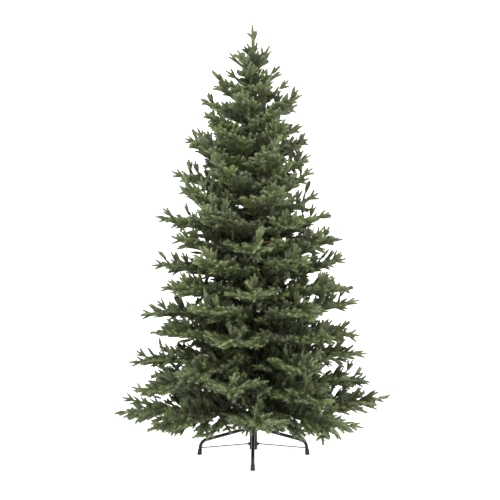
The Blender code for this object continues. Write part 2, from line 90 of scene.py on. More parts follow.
def mottle_group():
    """Fine unevenness of a surface: a mask of broad and fine noise, each with its own grain size."""
    group = bpy.data.node_groups.new("surface_mottle", "ShaderNodeTree")
    for name, value in (("Broad Scale", 20.0), ("Fine Scale", 400.0), ("Fine Share", 0.4)):
        group.interface.new_socket(name, in_out="INPUT", socket_type="NodeSocketFloat").default_value = value
    for name in ("Mask", "Fine Mask"):
        group.interface.new_socket(name, in_out="OUTPUT", socket_type="NodeSocketFloat")
    add = partial(add_node, group)
    taken, own_place = add("NodeGroupInput").outputs, add("ShaderNodeTexCoord").outputs["Object"]
    broad, fine = (
        add("ShaderNodeTexNoise", {"Vector": own_place, "Scale": taken[scale], "Detail": 3.0})
        for scale in ("Broad Scale", "Fine Scale")
    )
    mix = add("ShaderNodeMix", {"Factor": taken["Fine Share"], "A": broad, "B": fine})
    spread = add("ShaderNodeMapRange", {"From Min": 0.36, "From Max": 0.64, "Value": mix})
    add("NodeGroupOutput", {"Mask": spread, "Fine Mask": fine})
    return group


surface_mottle = mottle_group()


def finish(name, dark, light, roughness, scales, bump, metallic=0.0, specular=0.5):
    """A material whose colour and roughness wander between two values, with a fine bump."""
    material = bpy.data.materials.new(name)
    material.use_nodes = True
    add = partial(add_node, material.node_tree)
    grain = dict(zip(("Broad Scale", "Fine Scale", "Fine Share"), scales))
    mask = add("ShaderNodeGroup", grain, node_tree=surface_mottle)
    fine = mask.outputs["Fine Mask"]
    colour = add("ShaderNodeMix", {"Factor": mask, "A": (*dark, 1.0), "B": (*light, 1.0)}, data_type="RGBA")
    rough = add("ShaderNodeMapRange", {"To Min": roughness[0], "To Max": roughness[1], "Value": mask})
    relief = add("ShaderNodeBump", {"Strength": bump[0], "Distance": bump[1], "Height": fine})
    feed(material.node_tree.nodes["Principled BSDF"], {
        "Base Color": colour, "Metallic": metallic, "Specular IOR Level": specular,
        "Roughness": rough, "Normal": relief,
    })
    return material


stand_black = finish(
    "powder_coated_black", (0.005, 0.005, 0.006), (0.010, 0.010, 0.011),
    (0.26, 0.42), (30.0, 900.0, 0.5), (0.25, 0.0004), specular=0.30,
)


def on_circle(reach, azimuth, height):
    """The point at this distance from the pole's axis, in this direction and at this height."""
    return Vector((reach * math.cos(azimuth), reach * math.sin(azimuth), height))


def add_piece(name, mesh, material, nodes):
    """A finished piece of the tree in the place of these nodes of the solid model."""
    piece = bpy.data.objects.new(name, mesh)
    bpy.context.scene.collection.objects.link(piece)
    mesh.name = name
    mesh.materials.clear()
    mesh.materials.append(material)
    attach(piece, "root")
    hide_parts(*nodes)


class Facets:
    """Corners and faces of a piece, gathered from its turned, bent and flat parts."""

    def __init__(self):
        self.corners = []
        self.faces = []

    def rings(self, rings):
        """Skins rings of equally many points, and closes both ends."""
        first = len(self.corners)
        sides = len(rings[0])
        for ring in rings:
            self.corners += [tuple(point) for point in ring]
        for i in range(len(rings) - 1):
            for k in range(sides):
                a = first + i * sides + k
                b = first + i * sides + (k + 1) % sides
                self.faces.append((a, b, b + sides, a + sides))
        last = first + (len(rings) - 1) * sides
        self.faces.append(tuple(first + k for k in reversed(range(sides))))
        self.faces.append(tuple(last + k for k in range(sides)))

    def turned(self, profile, sides, place=Matrix.Identity(4)):
        """A turned part. Its profile of (radius, height) runs up the outside and down the inside."""
        self.rings([
            [place @ on_circle(radius, math.tau * k / sides, height) for k in range(sides)]
            for radius, height in profile
        ])

    def bar(self, points, radii, sides):
        """A round bar bent along the points."""
        rings = []
        side = (points[1] - points[0]).orthogonal()
        for i, (point, radius) in enumerate(zip(points, radii)):
            along = (points[min(i + 1, len(points) - 1)] - points[max(i - 1, 0)]).normalized()
            side = (side - along * side.dot(along)).normalized()
            across = along.cross(side)
            turns = [math.tau * k / sides for k in range(sides)]
            ring = [side * math.cos(turn) + across * math.sin(turn) for turn in turns]
            rings.append([point + radius * outward for outward in ring])
        self.rings(rings)

    def plate(self, outline, thickness, place):
        """A flat plate with its outline in x and y, pressed out both ways from its own middle."""
        self.rings([[place @ Vector((x, y, z)) for x, y in outline] for z in (-thickness / 2, thickness / 2)])

    def mesh(self):
        mesh = bpy.data.meshes.new("facets")
        mesh.from_pydata(self.corners, [], self.faces)
        mesh.update()
        mesh.set_sharp_from_angle(angle=SHARPEST_SMOOTH_EDGE)
        return mesh


def rounded(low, high, radius, edge):
    """Profile of a ring's or tube's outside with softened corners, from low to high."""
    corner = ((edge, 0.0), (0.3 * edge, 0.3 * edge), (0.0, edge))
    foot = [(radius - inward, low + rise) for inward, rise in corner]
    return [*foot, *[(radius - inward, high - rise) for inward, rise in reversed(corner)]]


def lug_outline(lugs):
    """Outline of a lug in its own plane: it starts inside the hub and ends round its rivet."""
    outline = [(HUB_BORE, lugs.height - lugs.base)]
    for k in range(9):
        turn = -math.pi / 2 + math.pi * k / 8
        outline.append((lugs.reach + lugs.nose * math.cos(turn), lugs.height + lugs.nose * math.sin(turn)))
    return [*outline, (HUB_BORE, lugs.height + lugs.base)]


def rivet_profile(length, radius):
    """A rivet about its own length, with a low domed head at both ends."""
    end, head = length / 2, radius * 1.7
    half = [(head * 0.6, end + 0.0006), (head, end), (head, end - 0.0008), (radius, end - 0.0010)]
    return [*[(reach, -height) for reach, height in half], *reversed(half)]


def upright(azimuth, offset):
    """The place of a part that stands upright in a leg's plane, with an offset along the leg's own axes."""
    turned_to_leg = Matrix.Rotation(azimuth, 4, "Z") @ Matrix.Translation(offset)
    return turned_to_leg @ Matrix.Rotation(math.pi / 2, 4, "X")


hub = Facets()
hub.turned([
    *rounded(HUB_BOTTOM, HUB_TOP, HUB_RADIUS, HUB_EDGE),
    (HUB_BORE, HUB_TOP),
    (HUB_BORE, HUB_BOTTOM + HUB_FLOOR),
    (NEAR_AXIS, HUB_BOTTOM + HUB_FLOOR),
], HUB_SIDES)
for low, high in (LOW_COLLAR, LEG_COLLAR):
    collar = rounded(low, high, COLLAR_RADIUS, COLLAR_EDGE)
    inside = HUB_RADIUS - COLLAR_OVERLAP
    hub.turned([(inside, low), *collar, (inside, high)], HUB_SIDES)
for azimuth in LEG_AZIMUTHS.values():
    for side in (-1, 1):
        for lugs in (LEG_LUGS, STAY_LUGS):
            hub.plate(lug_outline(lugs), lugs.thickness, upright(azimuth, (0, side * lugs.apart, 0)))
    for lugs in (LEG_LUGS, STAY_LUGS):
        rivet = rivet_profile(lugs.rivet_length, lugs.rivet_radius)
        hub.turned(rivet, 12, upright(azimuth, (lugs.reach, 0, lugs.height)))
add_piece("stand_hub_tube", hub.mesh(), stand_black, ["stand_hub"])


# Stand legs. Four lengths of the same black tube, flattened where the rivet holds them between the lugs.
# They fall at a shallow slope, bend down in one sweep and end a little splayed.

LEG_RADIUS, LEG_ROOT_SHARE = 0.0078, 0.93
LEG_ROOT_HEIGHT, LEG_ROOT_GAP = 0.1285, 0.0035
LEG_SLOPE, LEG_SPLAY, LEG_BEND_RADIUS = math.radians(15.2), math.radians(6), 0.040
FOOT_REACH, FOOT_SOLE, SOLE_GAP = 0.264, 0.005, 0.0003


def leg_line():
    """The leg's middle line as (reach, height), from the hub's collar to just above the floor."""
    start = Vector((COLLAR_RADIUS + LEG_ROOT_GAP, LEG_ROOT_HEIGHT))
    slope = Vector((math.cos(LEG_SLOPE), -math.sin(LEG_SLOPE)))
    drop = Vector((math.sin(LEG_SPLAY), -math.cos(LEG_SPLAY)))
    turn = math.pi / 2 - LEG_SLOPE - LEG_SPLAY
    foot = Vector((FOOT_REACH, 0.0))
    across = foot - start
    run = (across.x * drop.y - across.y * drop.x) / (slope.x * drop.y - slope.y * drop.x)
    setback = LEG_BEND_RADIUS * math.tan(turn / 2)
    inward = Vector((-math.sin(LEG_SLOPE), -math.cos(LEG_SLOPE)))
    centre = start + slope * (run - setback) + inward * LEG_BEND_RADIUS
    bend = []
    for k in range(15):
        angle = math.pi / 2 - LEG_SLOPE - turn * k / 14
        bend.append(centre + LEG_BEND_RADIUS * Vector((math.cos(angle), math.sin(angle))))
    straight = [start.lerp(bend[0], k / 6) for k in range(6)]
    return [*straight, *bend, foot - drop * (FOOT_SOLE + SOLE_GAP)]


leg_points = leg_line()
leg_radii = [LEG_RADIUS * LEG_ROOT_SHARE, *[LEG_RADIUS] * (len(leg_points) - 1)]
for side, azimuth in LEG_AZIMUTHS.items():
    leg = Facets()
    leg.bar([on_circle(point.x, azimuth, point.y) for point in leg_points], leg_radii, 20)
    add_piece(f"leg_tube_{side}", leg.mesh(), stand_black, [f"stand_leg_{side}"])


# Foot caps. Soft black plastic cups, pushed on over the tube's end, with a rolled rim, two grip rings and a
# flat sole.

cap_black = finish(
    "soft_black_cap", (0.006, 0.006, 0.006), (0.013, 0.013, 0.012),
    (0.55, 0.72), (60.0, 700.0, 0.5), (0.3, 0.0003),
)
CAP_PROFILE = (
    (0.0020, -0.0100), (0.0106, -0.0100), (0.0111, 0.0008), (0.0111, 0.0022), (0.0104, 0.0042),
    (0.0106, 0.0075), (0.0101, 0.0085), (0.0105, 0.0115), (0.0100, 0.0125), (0.0101, 0.0190),
    (0.0106, 0.0205), (0.0106, 0.0230), (0.0100, 0.0240), (0.0088, 0.0240), (0.0082, 0.0230),
    (0.0082, 0.0055), (0.0010, 0.0055),
)


def foot_cap(azimuth):
    """The turned cap, leaned with the leg's end, with its sole pressed flat onto the floor."""
    cap = Facets()
    lean = Matrix.Translation(on_circle(FOOT_REACH, azimuth, 0)) @ Matrix.Rotation(azimuth, 4, "Z")
    cap.turned(CAP_PROFILE, 28, lean @ Matrix.Rotation(-LEG_SPLAY, 4, "Y"))
    cap.corners = [(x, y, max(z, 0.0)) for x, y, z in cap.corners]
    return cap.mesh()


for side, azimuth in LEG_AZIMUTHS.items():
    add_piece(f"foot_cap_{side}", foot_cap(azimuth), cap_black, [f"stand_foot_{side}"])


# Stays. Thin rods of the same black steel that keep the legs from spreading. They are pressed wider at both
# ends and riveted in the hub's low lugs and to the legs.

STAY_RADIUS, STAY_ROOT_REACH, STAY_FOOT_HEIGHT = 0.0021, 0.0240, 0.033
STAY_SHARES = (0, 0.015, 0.03, 0.06, 0.5, 0.94, 0.97, 0.985, 0.998)
STAY_SWELLS = (1.05, 1.2, 1.15, 1.0, 1.0, 1.0, 1.15, 1.3, 1.3)


def stay_line():
    """From the rivet in the low lugs to the inner side of the leg's lower run."""
    upper, lower = leg_points[-2], leg_points[-1]
    drop = (upper.y - STAY_FOOT_HEIGHT) / (upper.y - lower.y)
    reach = upper.lerp(lower, drop).x - LEG_RADIUS / math.cos(LEG_SPLAY)
    start, end = Vector((STAY_ROOT_REACH, STAY_LUGS.height)), Vector((reach, STAY_FOOT_HEIGHT))
    return [start.lerp(end, share) for share in STAY_SHARES]


for side, azimuth in LEG_AZIMUTHS.items():
    stay = Facets()
    line = [on_circle(point.x, azimuth, point.y) for point in stay_line()]
    stay.bar(line, [STAY_RADIUS * swell for swell in STAY_SWELLS], 12)
    add_piece(f"stay_rod_{side}", stay.mesh(), stand_black, [f"stand_stay_{side}"])


# Pole. Three lengths of dark green painted steel tube, each swaged to stand in the one below, with a pressed
# ring at each joint.

POLE_SECTIONS = ((0.0160, 0.665), (0.0140, 1.142), (0.0110, 1.620))
POLE_FOOT_GAP, POLE_OVERLAP = 0.0005, 0.0005
SWAGE_SHARE, RING_HEIGHT = 0.9, 0.0009

pole_green = finish(
    "painted_pole", (0.016, 0.034, 0.018), (0.030, 0.058, 0.028),
    (0.38, 0.55), (25.0, 600.0, 0.4), (0.2, 0.0004),
)


def pole_radius(height):
    """The pole's radius at a height."""
    return next((radius for radius, top in POLE_SECTIONS if height < top), POLE_SECTIONS[-1][0])


def pole_profile(radius, foot, top):
    """One length of the pole: its narrowed foot, the plain tube and the ring pressed out below its top."""
    swage, ring = radius * SWAGE_SHARE, radius + RING_HEIGHT
    return [
        (NEAR_AXIS, foot), (swage, foot), (swage, foot + 0.002),
        (radius - 0.0006, foot + 0.004), (radius, foot + 0.006),
        (radius, top - 0.014), (ring, top - 0.012), (ring, top - 0.003),
        (radius, top - 0.001), (radius - 0.0008, top), (NEAR_AXIS, top),
    ]


pole = Facets()
foot = HUB_BOTTOM + HUB_FLOOR + POLE_FOOT_GAP
for radius, top in POLE_SECTIONS:
    pole.turned(pole_profile(radius, foot, top), 36)
    foot = top - POLE_OVERLAP
add_piece("pole_tube", pole.mesh(), pole_green, ["pole"])


# Boughs. Steel wires wrapped in a strip of film, brown in the lowest tier and red-brown above it, and hooked
# to the pole in rising tiers. They sag a little with their load. The lowest ones stay bare near the pole.

TREE_HEIGHT, TIER_HEIGHT, TIER_PITCH = 2.10, 0.235, 0.0955
BOUGHS = (8, 7, 6, 7, 6, 6, 6, 6, 6, 5, 6, 5, 6, 5, 5, 5, 5, 4)
LEADER_TIER = 15
LEFT_REACH = (
    0.687, 0.540, 0.614, 0.480, 0.560, 0.430, 0.501, 0.384, 0.487,
    0.345, 0.408, 0.300, 0.345, 0.237, 0.271, 0.208, 0.150, 0.120,
)
RIGHT_REACH = (
    0.672, 0.584, 0.555, 0.520, 0.521, 0.457, 0.457, 0.413, 0.378,
    0.335, 0.306, 0.291, 0.281, 0.250, 0.222, 0.190, 0.139, 0.095,
)
LEFT_TIPS = (
    0.194, 0.360, 0.453, 0.629, 0.688, 0.825, 0.932, 1.069, 1.152,
    1.299, 1.382, 1.504, 1.548, 1.646, 1.739, 1.842, 1.896, 1.954,
)
RIGHT_TIPS = (
    0.292, 0.346, 0.497, 0.595, 0.752, 0.825, 0.962, 1.065, 1.192,
    1.290, 1.412, 1.475, 1.553, 1.607, 1.734, 1.857, 1.891, 1.960,
)
WIDEST, WIDEST_AT, TAPER_POWER, DEPTH_SHARE, TIP_ABOVE_ROOT = 0.68, 0.25, 0.6, 0.93, 0.08
STEEPEST, RISE_POWER, STEEPEST_TIER = math.radians(38), 0.65, 14
LOWEST_SAG, LEAST_SAG = 0.45, 0.12
TURN_JITTER, REACH_JITTER, LIFT_JITTER, SIDE_LIFT_JITTER = math.radians(4), 0.05, 0.050, 0.010
SIDEWAYS, FRONTWAYS, FRONT_TIP_RISE, CORNER_TIP_SAG = 0.80, 0.30, 0.045, -0.012
FINGER_LENGTH = 0.058
WIRE_RADIUS, WIRE_TIP_RADIUS, WIRE_STEP = 0.0026, 0.0013, 0.035
BUNDLE_RADIUS, BUNDLE_TIERS = 0.0046, range(1, 12)
THICK_BUNDLE_RADIUS, THICK_BUNDLE_TIERS = 0.00828, range(6, 11)
BARE_WIRE_RADII = (0.0075, 0.0070, 0.0045)
BARE_WIRES = (
    (Vector((-0.006, -0.012, 1.120)), Vector((-0.070, -0.210, 1.136)), Vector((-0.132, -0.285, 1.141))),
    (Vector((0.006, -0.012, 1.114)), Vector((0.120, -0.210, 1.130)), Vector((0.215, -0.265, 1.136))),
    (Vector((0.002, -0.013, 1.018)), Vector((0.026, -0.220, 1.030)), Vector((0.076, -0.310, 1.036))),
)
UPWARD = Vector((0, 0, 1))
FILM = ((0.55, 0.80), (90.0, 1500.0, 0.5), (0.5, 0.0006))

film_brown = finish("wrapped_brown_film", (0.050, 0.024, 0.014), (0.120, 0.058, 0.034), *FILM)
film_red = finish("wrapped_red_brown_film", (0.082, 0.040, 0.021), (0.145, 0.071, 0.038), *FILM)


def clamp(value, low, high):
    return max(low, min(high, value))


def tier_root(tier):
    """Height at which a tier's boughs leave the pole."""
    return TIER_HEIGHT + TIER_PITCH * tier


def tier_reach(tier):
    """The crown's greatest reach at the height of a tier's tips."""
    height = tier_root(tier) + TIP_ABOVE_ROOT
    left = clamp((TREE_HEIGHT - height) / (TREE_HEIGHT - WIDEST_AT), 0.02, 1.0)
    return WIDEST * left**TAPER_POWER


def tier_rise(tier):
    """How steeply a tier's boughs leave the pole."""
    return STEEPEST * (tier / STEEPEST_TIER) ** RISE_POWER


def tier_height(tier, reach):
    """Height of a tier's middle surface at a distance from the pole."""
    sag = LOWEST_SAG + (LEAST_SAG - LOWEST_SAG) * clamp(tier / STEEPEST_TIER, 0.0, 1.0)
    loss = sag * min(1.0, reach / tier_reach(tier))
    return tier_root(tier) + reach * math.tan(tier_rise(tier)) * (1 - loss)


def square_axes(direction, up):
    """Three square axes: along the direction, across it, and its face, which leans as far up as it can."""
    along = direction.normalized()
    across = along.cross(up).normalized()
    return along, across, across.cross(along)


class Bough:
    """One bough: where it points, how far it reaches and how much its tip lifts."""

    def __init__(self, tier, index):
        chance = random.Random(100 * tier + index)
        self.tier = tier
        self.azimuth = math.pi + (tier % 2) * math.pi / BOUGHS[tier] + index * math.tau / BOUGHS[tier]
        if index > 0:
            self.azimuth += chance.uniform(-1, 1) * TURN_JITTER
        side = math.cos(self.azimuth)
        reaches, tips = (RIGHT_REACH, RIGHT_TIPS) if side > 0 else (LEFT_REACH, LEFT_TIPS)
        sideways, tip = reaches[tier], tips[tier]
        self.reach = side * side * sideways + (1 - side * side) * DEPTH_SHARE * tier_reach(tier)
        self.reach *= 1 - REACH_JITTER * chance.random()
        jitter = chance.uniform(-1, 1)
        if abs(side) > SIDEWAYS:
            self.reach = sideways / abs(side)
            self.lift = tip - tier_height(tier, self.reach) + SIDE_LIFT_JITTER * jitter
        elif tier == 0:
            self.lift = FRONT_TIP_RISE if abs(side) < FRONTWAYS else CORNER_TIP_SAG
        else:
            self.lift = LIFT_JITTER * jitter

    def point(self, reach):
        """The bough's middle at this distance from the pole."""
        height = tier_height(self.tier, reach) + self.lift * (reach / self.reach) ** 2
        return on_circle(reach, self.azimuth, height)

    def axes(self, reach):
        """The bough's middle, the way it runs, the level way across it and the way up from it."""
        here = self.point(reach)
        return here, *square_axes(self.point(reach + 0.01) - here, UPWARD)


boughs = [Bough(tier, index) for tier in range(len(BOUGHS)) for index in range(BOUGHS[tier])]
foliage_nodes = {LEADER_TIER: ["leader"]}
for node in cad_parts:
    if node.startswith("foliage_"):
        foliage_nodes.setdefault(int(node.split("_")[1]) - 1, []).append(node)


class Strands:
    """Many thin bars, kept as chains of points with a thickness, for the node tree that rounds them."""

    def __init__(self):
        self.points = []
        self.edges = []
        self.thick = []

    def add(self, points, radii):
        first = len(self.points)
        self.points += [tuple(point) for point in points]
        self.thick += list(radii)
        self.edges += [(first + k, first + k + 1) for k in range(len(points) - 1)]

    def mesh(self):
        mesh = bpy.data.meshes.new("strands")
        mesh.from_pydata(self.points, self.edges, [])
        thick = mesh.attributes.new("thick", "FLOAT", "POINT")
        thick.data.foreach_set("value", self.thick)
        return mesh


def node_tree(name, inputs):
    """A new geometry node tree, and its inputs: a geometry, these named values and a material."""
    tree = bpy.data.node_groups.new(name, "GeometryNodeTree")
    tree.interface.new_socket("Geometry", in_out="INPUT", socket_type="NodeSocketGeometry")
    for label, kind, value in inputs:
        socket = tree.interface.new_socket(label, in_out="INPUT", socket_type=f"NodeSocket{kind}")
        socket.default_value = value
    tree.interface.new_socket("Material", in_out="INPUT", socket_type="NodeSocketMaterial")
    tree.interface.new_socket("Geometry", in_out="OUTPUT", socket_type="NodeSocketGeometry")
    return tree, tree.nodes.new("NodeGroupInput").outputs


def shorthands(tree):
    """Shorthands for a tree: add a node, do arithmetic, read or store an attribute, join geometries."""
    add = partial(add_node, tree)

    def sums(operation, *values):
        return add("ShaderNodeMath", dict(enumerate(values)), operation=operation)

    def read(name, data_type="FLOAT"):
        return add("GeometryNodeInputNamedAttribute", {"Name": name}, data_type=data_type)

    def store(geometry, name, value):
        return add("GeometryNodeStoreNamedAttribute", {"Geometry": geometry, "Name": name, "Value": value})

    def join(*parts):
        joined = add("GeometryNodeJoinGeometry")
        for part in parts:
            feed(joined, {"Geometry": part})
        return joined

    return add, sums, read, store, join


def coat(add, geometry, material):
    """Ends a tree: real geometry in this material."""
    solid = add("GeometryNodeRealizeInstances", {"Geometry": geometry})
    coated = add("GeometryNodeSetMaterial", {"Geometry": solid, "Material": material})
    add("NodeGroupOutput", {"Geometry": coated})


def wrapped_wire_tree():
    """Rounds chains of points into wires, with the raised edge of the film winding along them."""
    tree, taken = node_tree("wrapped_wires", (
        ("Step", "Float", 0.018), ("Sides", "Int", 7),
        ("Wraps per Metre", "Float", 95.0), ("Ridge", "Float", 0.3),
    ))
    add, sums, read, store, _ = shorthands(tree)
    chain = add("GeometryNodeMeshToCurve", {"Mesh": taken["Geometry"]})
    fine = add("GeometryNodeResampleCurve", {"Curve": chain, "Length": taken["Step"]}, mode="LENGTH")
    along = add("GeometryNodeSplineParameter")
    ring = add("GeometryNodeCurvePrimitiveCircle", {"Resolution": taken["Sides"], "Radius": 1.0})
    skin = add("GeometryNodeCurveToMesh", {
        "Curve": store(fine, "run", along.outputs["Length"]),
        "Profile Curve": store(ring, "round", along),
        "Scale": read("thick"), "Fill Caps": True,
    })
    turns = sums("MULTIPLY", read("run"), taken["Wraps per Metre"])
    phase = sums("FRACT", sums("ADD", turns, read("round")))
    swell = sums("MULTIPLY", sums("SUBTRACT", phase, 0.5), taken["Ridge"])
    push = sums("MULTIPLY", swell, read("thick"))
    normal = add("GeometryNodeInputNormal")
    offset = add("ShaderNodeVectorMath", {"Vector": normal, "Scale": push}, operation="SCALE")
    coat(add, add("GeometryNodeSetPosition", {"Geometry": skin, "Offset": offset}), taken["Material"])
    return tree


def grown(mesh, tree, values):
    """What the tree makes of this mesh, as a plain mesh. Inputs not named keep the tree's own values."""
    carrier = bpy.data.objects.new("carrier", mesh)
    bpy.context.scene.collection.objects.link(carrier)
    modifier = carrier.modifiers.new("grow", "NODES")
    modifier.node_group = tree
    for item in tree.interface.items_tree:
        if item.in_out == "INPUT" and item.name in values:
            modifier[item.identifier] = values[item.name]
    result = bpy.data.meshes.new_from_object(carrier.evaluated_get(bpy.context.evaluated_depsgraph_get()))
    carrier.modifiers.remove(modifier)
    bpy.data.objects.remove(carrier)
    bpy.data.meshes.remove(mesh)
    for name in ("thick", "run", "round", "aim", "size", "kind"):
        spent = result.attributes.get(name)
        if spent is not None:
            result.attributes.remove(spent)
    return result


def root_radius(tier):
    """The wire's radius at the pole, where most tiers have the twigs' wires wrapped into one bundle."""
    if tier in THICK_BUNDLE_TIERS:
        return THICK_BUNDLE_RADIUS
    return BUNDLE_RADIUS if tier in BUNDLE_TIERS else WIRE_RADIUS


wire_strands = {"low": Strands(), "high": Strands()}
for bough in boughs:
    start = pole_radius(tier_root(bough.tier)) - 0.001
    end = bough.reach - FINGER_LENGTH
    steps = max(4, round((end - start) / WIRE_STEP))
    shares = [k / steps for k in range(steps + 1)]
    thickest = root_radius(bough.tier)
    wire_strands["low" if bough.tier == 0 else "high"].add(
        [bough.point(start + (end - start) * share) for share in shares],
        [thickest + (WIRE_TIP_RADIUS - thickest) * share for share in shares],
    )
for bare_wire in BARE_WIRES:
    wire_strands["high"].add(bare_wire, BARE_WIRE_RADII)
wrapped_wires = wrapped_wire_tree()
lowest_boughs = [f"bough_{number}" for number in range(1, BOUGHS[0] + 1)]
upper_masses = [node for tier in range(1, len(BOUGHS)) for node in foliage_nodes.get(tier, [])]
for kind, step, film, nodes in (
    ("low", 0.009, film_brown, lowest_boughs),
    ("high", 0.018, film_red, upper_masses),
):
    wire_mesh = grown(wire_strands[kind].mesh(), wrapped_wires, {"Step": step, "Material": film})
    add_piece(f"bough_wires_{kind}", wire_mesh, film, nodes)


# Twigs and needle-covered fingers. Each bough is a fan: paired side twigs, shorter towards the tip, that
# fork into pairs of fingers and end in three. Standing and hanging twigs fill the space between the tiers.

FAN_SHARE, SHORTEST_TWIG, LONGEST_TWIG, TWIG_LENGTHS = 0.70, 0.062, 0.245, (0.85, 1.08)
FAN_START, LOWEST_FAN_START, FAN_PITCH, CROWDING = 0.055, 0.110, 0.045, 0.80
TWIG_TURN, FINGER_TURN, BRUSH_TURN = math.radians(34), math.radians(33), math.radians(20)
TWIG_ROLLS, TWIG_RISES, LOWEST_DROP = (math.radians(5), math.radians(42)), (-0.16, 0.30), 0.28
TWIG_RADIUS, TWIG_TAPER, FORK_PITCH = 0.0017, 0.0005, 0.046
SLEEVE_LENGTH, SLEEVE_OVERLAP, SLEEVE_PLUMP = 0.052, 1.12, 0.92
GIRTHS, HIGH_PLUMP, DEEP_PLUMP = (1.04, 1.22), 1.07, 1.2
STANDING = SimpleNamespace(sense=1, pitch=0.031, leans=(8, 50), lengths=(0.095, 0.150), stop=0.80)
HANGING = SimpleNamespace(sense=-1, pitch=0.058, leans=(35, 72), lengths=(0.070, 0.118), stop=0.84)
BRUSH_START, RIDER_PITCH = 0.022, 0.040
CROWDED_TIER, NARROW_TIER, SLENDER_TIER, TOP_TIER = 10, 12, 13, 15
TINTS = ("bluish", "mid", "yellowish", "deep", "pale")
OUTER_WEIGHTS = (0.30, 0.27, 0.19, 0.10, 0.14)
# Inside the crown the mix is mostly the darkest green, partly as painted shade where the inside lies in
# shadow.
INNER_WEIGHTS = (0.14, 0.26, 0.12, 0.46, 0.02)
ZONE_TIERS = {"low": range(0, 4), "middle": range(4, 9), "high": range(9, len(BOUGHS))}
twigs = {zone: Strands() for zone in ZONE_TIERS}
fingers = {(zone, tint): [] for zone in ZONE_TIERS for tint in TINTS}


def zone_of(tier):
    """The part of the crown that a tier belongs to."""
    return next(zone for zone, tiers in ZONE_TIERS.items() if tier in tiers)


def pick_tint(chance, outer):
    """A tint for one spray, by the mix at the crown's outside or inside."""
    return chance.choices(TINTS, OUTER_WEIGHTS if outer else INNER_WEIGHTS)[0]


def add_finger(zone, tint, root, direction, up, length, chance, plump=1.0):
    """One finger: the place, direction and size that its needles are set to."""
    along, across, face = square_axes(direction, up)
    turn = Matrix((across, -face, along)).transposed().to_quaternion()
    girth = plump * chance.uniform(*GIRTHS) * (HIGH_PLUMP if zone == "high" else 1.0)
    girth *= DEEP_PLUMP if tint == "deep" else 1.0
    fingers[zone, tint].append((root, turn, (girth, girth, length / FINGER_LENGTH), chance.randrange(3)))


def add_twig(zone, tint, root, direction, up, length, curl, chance, spread=FINGER_TURN):
    """A twig that curls up a little. Fingers sleeve its core, and pairs of them fork off up to its tip."""
    along, across, face = square_axes(direction, up)
    if length < SHORTEST_TWIG * 1.15:
        add_finger(zone, tint, root, along, face, length, chance)
        return
    core = length - FINGER_LENGTH

    def spot(run):
        return root + along * run + face * curl * run * run

    shares = [k / 3 for k in range(4)]
    radii = [TWIG_RADIUS - TWIG_TAPER * share for share in shares]
    twigs[zone].add([spot(core * share) for share in shares], radii)
    sleeves = max(1, round(core / SLEEVE_LENGTH))
    for k in range(sleeves):
        start, end = spot(core * k / sleeves), spot(core * (k + 1) / sleeves)
        size = core / sleeves * SLEEVE_OVERLAP
        add_finger(zone, tint, start, end - start, face, size, chance, SLEEVE_PLUMP)
    ahead = (along + face * 2 * curl * core).normalized()
    pairs = max(1, round(core / FORK_PITCH))
    for k in range(pairs):
        run = core * (k + 1) / pairs
        for side in (-1, 1):
            turn = spread + chance.uniform(-0.17, 0.17)
            lift = chance.uniform(-0.10, 0.22)
            way = ahead * math.cos(turn) + (across * side + face * lift) * math.sin(turn)
            size = FINGER_LENGTH * chance.uniform(0.86, 1.08) * (0.90 if k == pairs - 1 else 1.0)
            add_finger(zone, tint, spot(run * chance.uniform(0.96, 1.0)), way, face, size, chance)
    add_finger(zone, tint, spot(core), ahead, face, FINGER_LENGTH * chance.uniform(0.96, 1.04), chance)


def add_fan(bough, zone, chance, reach, crowding):
    """The paired side twigs, from this reach to the tip. In the lowest tier they droop."""
    while reach < bough.reach - FINGER_LENGTH * 1.15:
        here, along, level, up = bough.axes(reach)
        for side in (-1, 1):
            length = clamp(FAN_SHARE * (bough.reach - reach), SHORTEST_TWIG, LONGEST_TWIG)
            length *= chance.uniform(*TWIG_LENGTHS)
            turn = TWIG_TURN + chance.uniform(-0.14, 0.14)
            rise = chance.uniform(*TWIG_RISES) - (LOWEST_DROP if bough.tier == 0 else 0.0)
            way = along * math.cos(turn) + (level * side + up * rise) * math.sin(turn)
            face = Matrix.Rotation(-side * chance.uniform(*TWIG_ROLLS), 3, way.normalized()) @ up
            tint = pick_tint(chance, reach > 0.42 * bough.reach)
            add_twig(zone, tint, here, way, face, length, chance.uniform(0.0, 0.5), chance)
        reach += FAN_PITCH * crowding * chance.uniform(0.92, 1.08)


def add_brush(bough, zone, chance, brush, crowding):
    """The twigs that stand up from a bough or hang down from it. They lean out more towards its tip."""
    narrow, top = bough.tier >= NARROW_TIER, bough.tier >= TOP_TIER
    reach, stop = BRUSH_START, brush.stop * bough.reach * (0.55 if top else 1.0)
    while reach < stop:
        share = reach / bough.reach
        here, along, level, up = bough.axes(reach)
        lean = chance.uniform(*map(math.radians, brush.leans)) + 0.40 * share + (0.25 if narrow else 0.0)
        way = up * brush.sense * math.cos(lean) + along * math.sin(lean) + level * chance.uniform(-0.5, 0.5)
        length = chance.uniform(*brush.lengths) * (1 - (0.50 if narrow else 0.25) * share)
        length *= 0.48 if top else 1.0
        face = Matrix.Rotation(chance.uniform(0, math.tau), 3, way.normalized()) @ level
        tint = pick_tint(chance, share > 0.55)
        add_twig(zone, tint, here, way, face, length, 0.3, chance, BRUSH_TURN)
        reach += brush.pitch * crowding * chance.uniform(0.85, 1.15)


def add_riders(bough, zone, chance, reach):
    """Single fingers that sit on the bough's upper side."""
    while reach < bough.reach - FINGER_LENGTH * 1.4:
        here, along, level, up = bough.axes(reach)
        way = along + up * chance.uniform(0.15, 0.75) + level * chance.uniform(-0.35, 0.35)
        tint = pick_tint(chance, reach > 0.4 * bough.reach)
        add_finger(zone, tint, here, way, up, FINGER_LENGTH * chance.uniform(0.85, 1.1), chance)
        reach += RIDER_PITCH * chance.uniform(0.85, 1.15)


